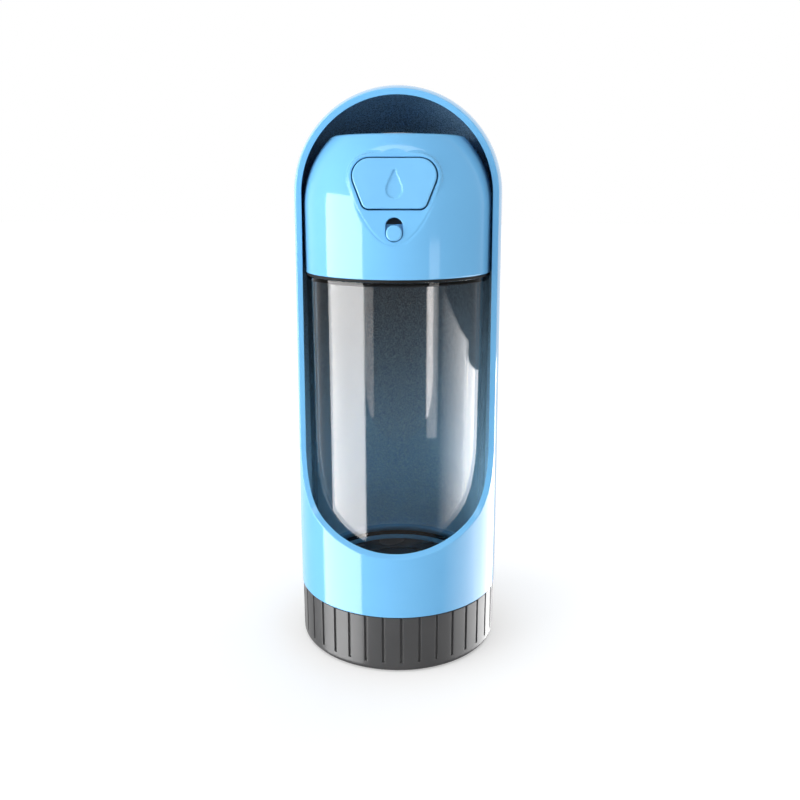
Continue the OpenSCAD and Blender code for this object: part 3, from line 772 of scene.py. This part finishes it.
def skin_depth(places):
    """Depth behind the facet's plane of the finished skin, for cap points in facet axes."""
    depth = places[:, 1]
    pushed = np.where(depth > CREASE, depth,
                      np.where(depth < -CREASE, 0, (depth + CREASE) ** 2 / (4 * CREASE)))
    aside = places[:, 0]
    slope = np.hypot(aside / np.sqrt(head_r ** 2 - aside ** 2), math.tan(facet_lean))
    valley = VALLEY * (1 - smooth_step(np.abs(depth / slope) / VALLEY_HALF))
    pad = outline(button_corners, pad_lip)
    return (pushed + valley) * smooth_step(side_of(places[:, [0, 2]], pad) / PAD_STEP)


def on_cap(flat):
    """Flat points of places on the facet, found by walking back to the turned surface."""
    depth = np.zeros(len(flat))
    for step in range(WALK_STEPS):
        x, y, z = from_facet(flat[:, 0], depth, flat[:, 1]).T
        lift = np.clip((z - dome_start) / head_r, 0, 1)
        depth = depth - (head_r * np.sqrt(1 - lift ** 2) - np.hypot(x, y)) * WALK_SHARE
    along = np.where(z < dome_start, z - head_z, straight_len + head_r * np.arcsin(lift))
    return np.stack([np.arctan2(x, -y) * head_r, along], axis=1)


print("straight part of the cap in mm:", round(straight_len, 1))

# %% [markdown]
# The front of the cap is a window of flat points, filled with triangles.  The
# points lie close along the crease and the pad's step, and the triangles leave
# the two openings out.

# %% Window of the skin, filled with triangles
EDGE_SOFT = 0.25
RIM_FADE, WALL_BLEND = 1.0, 3.0
ROW_GAP, HOLE_GAP = 0.25, 0.2
SAME = 1e-6
WINDOW = math.radians(38)
window_low = 8.0
window_high = straight_len + head_r * math.asin((head_top - 1.9 - dome_start) / head_r)
window_cols = np.linspace(-WINDOW, WINDOW, 63)
window_rows = np.linspace(window_low, window_high, 55)


def fill(points, loops, keep):
    """Triangles over flat points, with closed loops as edges, where keep says so."""
    flat = [tuple(p) for p in points]
    edges = []
    for loop in loops:
        start = len(flat)
        flat += [tuple(p) for p in loop]
        edges += [(start + i, start + (i + 1) % len(loop)) for i in range(len(loop))]
    made = geometry.delaunay_2d_cdt([Vector(p) for p in flat], edges, [], 0, 1e-5)
    found = np.array([tuple(p) for p in made[0]])
    faces = np.array([tuple(f) for f in made[2]])
    faces = faces[keep(found[faces].mean(axis=1))]
    return found, [tuple(int(i) for i in face) for face in faces]


def rim_gap(flat):
    """Distance of flat points from the window's rim."""
    return np.minimum.reduce([WINDOW * head_r - np.abs(flat[:, 0]), flat[:, 1] - window_low,
                              window_high - flat[:, 1]])


def nearest(points, others):
    """Distance of each point from the nearest of the others."""
    return np.min(np.linalg.norm(points[:, None] - others[None], axis=-1), axis=1)


button_hole = outline(button_corners, button_gap + EDGE_SOFT)
slot_hole = outline(slot_corners, EDGE_SOFT, arc=24, straight=6)
hole_loops = [on_cap(button_hole), on_cap(slot_hole)]


def hole_gap(flat):
    """Distance of flat points from the nearer opening, negative inside it."""
    return np.minimum(*[side_of(flat, loop) for loop in hole_loops])


pad_rings = [outline(button_corners, pad_lip + g, straight=16) for g in (0.0, 0.2, 0.4, 0.6)]
crease_x = np.linspace(-16.5, 16.5, 91)
crease_up = (head_r - np.sqrt(head_r ** 2 - crease_x ** 2)) / math.sin(facet_lean)
crease_line = np.stack([crease_x, crease_up], axis=1)
along_crease = np.gradient(crease_line, axis=0)
along_crease /= np.linalg.norm(along_crease, axis=1)[:, None]
beside = np.stack([-along_crease[:, 1], along_crease[:, 0]], axis=1)
crease_rows = np.concatenate([crease_line + g * beside
                              for g in (-0.55, -0.3, -0.12, 0.12, 0.3, 0.55)])
pad_foot = outline(button_corners, pad_lip + PAD_STEP)
crease_rows = crease_rows[side_of(crease_rows, pad_foot) > 0.15]
rows_of_step = np.concatenate([on_cap(rows) for rows in pad_rings + [crease_rows]])
grid = np.array([(a * head_r, s) for s in window_rows for a in window_cols])
border, middle = grid[rim_gap(grid) < SAME], grid[rim_gap(grid) > SAME]
middle = middle[nearest(middle, rows_of_step) > ROW_GAP]
inner_points = np.concatenate([middle, rows_of_step])
inner_points = inner_points[hole_gap(inner_points) > HOLE_GAP]
window_flat, window_faces = fill(np.concatenate([border, inner_points]), hole_loops,
                                 lambda flat: hole_gap(flat) > 0)


def head_skin(flat):
    """Outer and inner points of the window from its flat points, and the outer ones' depth."""
    base = cap_points(flat)
    places = to_facet(base)
    depth = skin_depth(places)
    outer = from_facet(places[:, 0], depth, places[:, 2])
    radial = cap_points(flat, HEAD_WALL) - base
    outer = base + smooth_step(rim_gap(flat) / RIM_FADE)[:, None] * (outer - base)
    share = smooth_step(rim_gap(flat) / WALL_BLEND)[:, None]
    back = (1 - share) * radial + share * HEAD_WALL * across_up[1]
    return outer, outer + back, depth


window_outer, window_inner = head_skin(window_flat)[:2]
print("window triangles:", len(window_faces))

# %% [markdown]
# Round the window the cap is an ordinary turned sheet that shares the window's
# border points.  Three small stop lugs stand out at the back of its lower
# edge; the shell's ledge stops on them when it is pulled right up.

# %% The rest of the cap
lug_half, lug_out, lug_edge, lug_top = 6.5 / head_r, 0.8, 0.006, 3.0
lug_turns = [math.pi + math.radians(55) * k for k in (-1, 0, 1)]
back_cols = set(np.linspace(WINDOW, 2 * math.pi - WINDOW, 112)[1:-1])
for turn in lug_turns:
    back_cols = {a for a in back_cols if abs(abs(a - turn) - lug_half) > 2 * lug_edge}
    back_cols |= {turn + side * (lug_half + off) for side in (-1, 1) for off in (-lug_edge, 0.0)}
angles = list(window_cols) + sorted(back_cols)

edge_round = 3.0
edge_z = head_top - edge_round
edge_x = math.sqrt((head_r - edge_round) ** 2 - (edge_z - dome_start) ** 2)
touch_lift = math.atan2(edge_z - dome_start, edge_x)
spigot_hole, hole_soft = 4.3, 0.2
head_bore_r, crown_low = head_r - HEAD_WALL, head_top - HEAD_WALL


def arc_level(centre_r, centre_z, radius, lift):
    """Outer and inner (radius, height) of a row of the cap on an arc of its profile."""
    return [(centre_r + (radius - inset) * math.cos(lift),
             centre_z + (radius - inset) * math.sin(lift)) for inset in (0, HEAD_WALL)]


low_rows = [0.3, 0.6, 1.5, 2.75, 2.9, lug_top, 3.06, 4.5, 6.2]
side_rows = low_rows + list(window_rows) + [straight_len + head_r * touch_lift]
levels = [arc_level(0, min(s, straight_len) + head_z, head_r, max(s - straight_len, 0) / head_r)
          for s in side_rows]
levels += [arc_level(edge_x, edge_z, edge_round, touch_lift + (math.pi / 2 - touch_lift) * t)
           for t in np.linspace(0.12, 1, 9)]
levels += [[(r, head_top), (r, crown_low)] for r in (19.0, 14.0, 9.0, 6.0, spigot_hole + hole_soft)]
first_row, last_row = len(low_rows), len(low_rows) + len(window_rows) - 1


def ring_points(r, z, lugs=False):
    """One row of the cap, with the lugs' extra radius where they stand."""
    row = []
    for a in angles:
        on_lug = min(abs(a - t) for t in lug_turns) < lug_half - lug_edge / 2
        out = r + (lug_out if lugs and on_lug else 0)
        row.append((out * math.sin(a), -out * math.cos(a), z))
    return row


def cap_sheet(rows):
    """Faces of the cap's rows, leaving the window open."""
    points, faces = sheet(rows, closed=True)
    kept_faces = []
    for index, face in enumerate(faces):
        row, col = divmod(index, len(angles))
        if not (first_row <= row < last_row and col < len(window_cols) - 1):
            kept_faces.append(face)
    return points, kept_faces


lug_levels = sum(1 for s in low_rows if s <= lug_top)
outer_rows = [ring_points(*outer, i < lug_levels) for i, (outer, inner) in enumerate(levels)]
inner_rows = [ring_points(*inner) for outer, inner in levels]
bottom = [ring_points(*place) for place in (
    (head_r, head_z + 0.3, True), (head_r - 0.08, head_z + 0.08, True),
    (head_r - 0.3, head_z, True), (head_bore_r + 0.3, head_z), (head_bore_r, head_z + 0.3))]
crown = [ring_points(*place) for place in (
    (spigot_hole + hole_soft, head_top), (spigot_hole, head_top - hole_soft),
    (spigot_hole, crown_low + hole_soft), (spigot_hole + hole_soft, crown_low))]


def ring_at(ring, depth):
    """World points of a flat ring at a depth."""
    return list(from_facet(ring[:, 0], depth, ring[:, 1]))


def hole_wall(flat_loop, loop_of):
    """Rounded wall of an opening, from the skin's edge to the inner edge."""
    outer, inner, depth = head_skin(on_cap(flat_loop))
    rows = [list(outer)]
    for t in np.linspace(0.25, 1, 4) * math.pi / 2:
        rows.append(ring_at(loop_of(EDGE_SOFT * (1 - math.sin(t))),
                            depth + EDGE_SOFT * (1 - math.cos(t))))
    rows.append(ring_at(loop_of(0.0), depth + HEAD_WALL - EDGE_SOFT))
    rows.append(list(inner))
    return sheet(rows, closed=True)


button_wall = hole_wall(button_hole, lambda grow: outline(button_corners, button_gap + grow))
slot_wall = hole_wall(slot_hole, lambda grow: outline(slot_corners, grow, arc=24, straight=6))
head = smooth_mesh("head", *join(
    cap_sheet(outer_rows), cap_sheet(inner_rows), sheet(bottom, True), sheet(crown, True),
    (list(window_outer), window_faces), (list(window_inner), window_faces),
    button_wall, slot_wall))
dress(head, "bottle", "head_housing", "blue_head", head_blue)

# %% [markdown]
# ## Button and lock
# The button is slightly crowned, its edge is rolled over half a millimetre,
# and a plain water drop is pressed into it.  The lock's knob is a small
# rounded pill.  Both reach through the wall to a wider foot behind it.

# %% Button and knob
DROP_DEPTH, DROP_WALL = 0.42, 0.35
drop_corners = [(0, button_mid - 2, 2.6), (0, button_mid + 3.6, 0.4)]
CROWN_REACH = 4.0
MARK_GAP, PLUG_GAP = 0.15, 0.12
BOX_SOFT, BOX_BEVEL, NOT_QUITE = 0.25, 0.07, 0.999


def drop_depth(flat):
    """Depth of the drop mark, with soft walls."""
    return DROP_DEPTH * smooth_step(0.5 - side_of(flat, outline(drop_corners)) / DROP_WALL)


def plug_shape(loop_of, soft, front, back, crown, spacing, extra=None, rings=()):
    """A closed plug with a rolled and crowned front face between two depths."""
    rim = loop_of(-soft)
    low, high = rim.min(axis=0), rim.max(axis=0)
    dots = np.array([(x, y) for y in np.arange(low[1], high[1], spacing)
                     for x in np.arange(low[0], high[0], spacing)])
    if len(rings):
        dots = np.concatenate([dots[nearest(dots, rings) > MARK_GAP], rings])
    dots = dots[side_of(dots, rim) < -PLUG_GAP]
    flat, faces = fill(dots, [rim], lambda places: side_of(places, rim) < 0)
    depth = front - crown * (1 - smooth_step(1 + side_of(flat, rim) / CROWN_REACH))
    if extra:
        depth = depth + extra(flat)
    rows = [ring_at(loop_of(-soft * (1 - math.sin(t))), front + soft * (1 - math.cos(t)))
            for t in np.linspace(0, 1, 6) * math.pi / 2]
    rows.append(ring_at(loop_of(0.0), back))
    end = (rows[-1], [tuple(range(len(rim)))])
    return join((ring_at(flat, depth), faces), sheet(rows, closed=True), end)


def facet_box(half_x, near, far, low, high):
    """A box on the facet's axes with soft edges; no corner shrinks quite to a point."""
    soft, bevel = BOX_SOFT, BOX_BEVEL
    side_x = half_x - soft
    corners = [(-side_x, low + soft, soft), (side_x, low + soft, soft),
               (side_x, high - soft, soft), (-side_x, high - soft, soft)]
    steps = ((near, -soft), (near + bevel, -bevel), (near + soft, 0),
             (far - soft, 0), (far - bevel, -bevel), (far, -soft))
    return closed_tube([ring_at(outline(corners, grow * NOT_QUITE, arc=4, straight=2), depth)
                        for depth, grow in steps])


mark_rings = np.concatenate([outline(drop_corners, g, arc=20, straight=14)
                             for g in (-0.18, -0.06, 0.06, 0.18)])
boss = [[from_facet(r * math.cos(a), depth, button_mid + r * math.sin(a)) for a in around(48)]
        for depth, r in ((3.4, 3.2), (7.75, 3.2), (8.0, 2.95))]
button = smooth_mesh("button", *join(
    plug_shape(lambda grow: outline(button_corners, grow, straight=16),
               0.5, -0.7, 3.4, 0.18, 0.6, drop_depth, mark_rings),
    facet_box(6.0, 2.8, 4.0, button_low - 1, button_top + 1), closed_tube(boss)))
dress(button, "button", "release_button", "blue_button", button_blue)

knob_low, knob_high, knob_r, knob_flat = 1.2, 6.1, 2.2, 0.3
knob_corners = [(-knob_flat, knob_low + knob_r, knob_r), (knob_flat, knob_low + knob_r, knob_r),
                (knob_flat, knob_high - knob_r, knob_r), (-knob_flat, knob_high - knob_r, knob_r)]
knob = smooth_mesh("lock_knob", *join(
    plug_shape(lambda grow: outline(knob_corners, grow), 0.6, -0.9, 3.05, 0.1, 0.5),
    facet_box(3.3, 2.5, 3.6, knob_low - 0.8, knob_high + 0.8)))
dress(knob, "lock", "lock_slider", "blue_button", button_blue)

# %% [markdown]
# ## The return spring
# The coil sits behind the stem's head on the button's axis.  Its first and
# last turns lie close, as on a wound spring, and the turns between share the
# rest of its length.

# %% A wound coil
WIRE_SIDES, TURN_ROWS = 12, 36
solid_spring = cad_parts["return_spring"]
spring_places = to_facet(np.array([solid_spring.matrix_world @ v.co
                                   for v in solid_spring.data.vertices]) / MM)
spring_near, spring_far = spring_places[:, 1].min(), spring_places[:, 1].max()
wire_r, coil_r, turns, close_turn, press = 0.35, 3.1, 6, 0.74, 2.5
coil_len = spring_far - spring_near - 2 * wire_r
wound = np.linspace(0, turns, turns * TURN_ROWS + 1)
depths = spring_near + wire_r + np.interp(
    wound, [0, 1, turns - 1, turns], [0, close_turn, coil_len - close_turn, coil_len])
outwards = np.stack([np.cos(2 * math.pi * wound), 0 * wound, np.sin(2 * math.pi * wound)], axis=1)
centres = coil_r * outwards + np.stack([0 * wound, depths, 0 * wound + button_mid], axis=1)
sideways = np.cross(np.gradient(centres, axis=0), outwards)
sideways /= np.linalg.norm(sideways, axis=1)[:, None]
wire_rows = [[from_facet(*(centre + wire_r * (math.cos(a) * out + math.sin(a) * side)))
              for a in around(WIRE_SIDES)]
             for centre, out, side in zip(centres, outwards, sideways)]
coil = smooth_mesh("coil", *closed_tube(wire_rows))
dress(coil, "bottle", "return_spring", "spring_steel", drawn_steel)
coil_anchor = from_facet(0.0, spring_far, button_mid) * MM
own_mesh(coil)

# %% [markdown]
# ## Finishes of the inner pieces
# The seals, the screws, the stem and the valve's mouldings keep their solids
# from the frame, and only get a finish.

# %% Dress the frame's own pieces
kept = {
    seal_rubber: ["slide_seal", "deck_seal", "outlet_seal", "end_plug_seal", "stem_seal",
                  "valve_washer", "base_seal", "plug_seal"],
    inner_white: ["outlet_collar", "valve_end_plug"],
    # painted shade: the lock's retainer is dark so that the slot behind the knob looks shaded
    inner_dark_and_painted_shade: ["valve_body", "lock_retainer"],
    turned_steel: ["valve_stem", "deck_screws", "retainer_screws"],
}
for material, nodes in kept.items():
    for node in nodes:
        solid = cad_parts[node]
        solid.data.materials.clear()
        solid.data.materials.append(material)
        for face in solid.data.polygons:
            face.material_index = 0
print("pieces kept from the frame:", sum(len(nodes) for nodes in kept.values()))

# %% [markdown]
# ## The studio
# A white floor, a tall softbox on the left, two wide ones on the right and
# behind, a narrow strip in front of them, and a bar overhead.  The floor
# shades the foot as usual, but it glows for the camera, more with distance,
# which lifts the rest of it to white; its weaker glow round the foot adds
# painted shade to the real shade there.  It lets mirror-like rays through, so
# that the gloss shows the softboxes whole, down to the cap.

# %% Floor
FLOOR_SIZE = 6.0
FLOOR_CELLS = 8
FLOOR_LIT, FLOOR_SEEN = (0.86, 0.86, 0.86), (0.75, 0.75, 0.75)
# painted shade: the glow is weakest round this point near the foot and grows out over GLOW_REACH,
# darkening the floor there
GLOW_CENTRE = (-0.06, -0.05, 0.0)
GLOW_REACH = (0.04, 0.27)
GLOW = (0.28, 0.55)
floor_white, tree, shader = new_material("studio_white")
rays = add_node(tree, "LightPath")
away = add_node(tree, "VectorMath", {0: object_place(tree), 1: GLOW_CENTRE},
                operation="DISTANCE")["Value"]
seen = calculate(tree, "MAXIMUM", rays["Is Camera Ray"], rays["Is Transmission Ray"])
set_inputs(tree, shader, {
    "Roughness": 0.9, "Specular IOR Level": 0.0, "Emission Color": (1, 1, 1, 1),
    "Emission Strength": calculate(tree, "MULTIPLY", seen,
                                   map_range(tree, away, GLOW_REACH, GLOW)),
    "Base Color": mix(tree, rays["Is Camera Ray"], FLOOR_LIT, FLOOR_SEEN)})
clear_for(tree, rays["Is Glossy Ray"], shader)

floor_lines = np.linspace(-1, 1, FLOOR_CELLS + 1) * FLOOR_SIZE / 2
floor_points, floor_faces = sheet([[(x, y, 0.0) for x in floor_lines] for y in floor_lines])
floor_mesh = bpy.data.meshes.new("studio_floor")
floor_mesh.from_pydata(floor_points, [], floor_faces)
floor_mesh.materials.append(floor_white)
floor = bpy.data.objects.new("studio_floor", floor_mesh)
bpy.context.scene.collection.objects.link(floor)
print("floor in metres:", FLOOR_SIZE)

# %% [markdown]
# The air is about three quarters white for ordinary light, and full white
# where it is seen directly or through the tube.  A mirrored path finds it
# white behind the bottle and dark on the camera's side, as in a real studio.

# %% World light
AIR = 0.78
ROOM_BACK = (0.30, 0.90)
ROOM_SHADE = (0.18, 1.0)
world = bpy.data.worlds.new("studio_air")
world.use_nodes = True
bpy.context.scene.world = world
air = world.node_tree
rays = add_node(air, "LightPath")
direction = add_node(air, "TexCoord")["Generated"]
backwards = add_node(air, "SeparateXYZ", {"Vector": direction})["Y"]
room = map_range(air, backwards, ROOM_BACK, ROOM_SHADE, "SMOOTHSTEP")
strength = AIR
for kind, value in (("Is Transmission Ray", 1.0), ("Glossy Depth", room), ("Is Camera Ray", 1.0)):
    strength = mix(air, rays[kind], strength, value, "FLOAT")
set_inputs(air, air.nodes["Background"], {"Color": (1, 1, 1, 1), "Strength": strength})
print("air for ordinary light:", AIR)

# %% [markdown]
# Each softbox is given as the gloss sees it: from one compass angle to
# another, counted from the camera's side to the right, between two heights, a
# metre away.  Its power follows from how bright its face should be.  The
# right-hand ones stay low, so only the tube and the ring mirror them.  The
# wide one at the side fades out towards the camera and leans a little, which
# cuts the tube's reflection off on a slant.  The bar overhead lights the rims.

# %% Softboxes
BOX_DISTANCE = 1.0
BAR_PLACE, BAR_AIM = (0.0, -0.30, 1.05), (0.0, 0.0, 0.18)


def area_light(name, width, height, radiance, place, aim, lean=0.0):
    """An area light whose face has a radiance, looks along a direction and leans."""
    lamp = bpy.data.lights.new(name, "AREA")
    lamp.shape = "RECTANGLE"
    lamp.size, lamp.size_y = width, height
    lamp.energy = math.pi * width * height * radiance
    thing = bpy.data.objects.new(name, lamp)
    thing.location = place
    thing.rotation_euler = (aim.to_track_quat("-Z", "Y").to_matrix()
                            @ Matrix.Rotation(math.radians(lean), 3, "Z")).to_euler()
    bpy.context.scene.collection.objects.link(thing)
    print(name, "watts", round(lamp.energy, 1))
    return lamp


def softbox(name, from_deg, to_deg, low, high, radiance, fade=False, lean=0.0):
    """An upright area light that spans two compass angles seen from the bottle."""
    left, right = [Vector((math.sin(math.radians(a)), -math.cos(math.radians(a)), 0))
                   * BOX_DISTANCE for a in (from_deg, to_deg)]
    centre = (left + right) / 2
    lamp = area_light(name, (right - left).length, high - low, radiance,
                      (centre.x, centre.y, (low + high) / 2), -centre, lean)
    if fade:
        lamp.use_nodes = True
        tree = lamp.node_tree
        place = add_node(tree, "NewGeometry")["Parametric"]
        across = add_node(tree, "SeparateXYZ", {"Vector": place})["X"]
        set_inputs(tree, tree.nodes["Emission"], {"Strength": across})


softbox("left_tall", -92, -40, -0.65, 0.356, 7.4)
softbox("right_strip", 39, 52, -0.21, 0.08, 2.3)
softbox("right_side", 54, 98, -0.70, -0.02, 4.8, fade=True, lean=-7)
softbox("right_back", 98, 150, -0.65, -0.09, 5.2)
area_light("overhead", 0.9, 0.16, 3.0, BAR_PLACE, Vector(BAR_AIM) - Vector(BAR_PLACE))

# %% [markdown]
# ## The camera
# It stands 303 mm in front of the bottle's axis, 2.3 degrees to the right and
# a little above the button, and looks down by 14.4 degrees, so both the open
# dome and the foot are seen from slightly above.

# %% Camera
camera_distance = 0.30315
camera_turn = math.radians(2.3)
camera_height = 0.16707
camera_down = 0.25188544
camera_aside = 0.00215943
SENSOR = 36.0
IMAGE_WIDTH = 800
FOCAL_PIXELS = 859.7

lens = bpy.data.cameras.new("eye")
lens.sensor_width = SENSOR
lens.lens = FOCAL_PIXELS * SENSOR / IMAGE_WIDTH
lens.clip_start = 0.01
eye = bpy.data.objects.new("eye", lens)
eye.location = (camera_distance * math.sin(camera_turn),
                -camera_distance * math.cos(camera_turn), camera_height)
eye.rotation_euler = (math.pi / 2 - camera_down, 0, camera_turn - camera_aside)
bpy.context.scene.collection.objects.link(eye)
bpy.context.scene.camera = eye
bpy.context.scene.view_settings.view_transform = "Standard"
print("lens in mm:", round(lens.lens, 2))
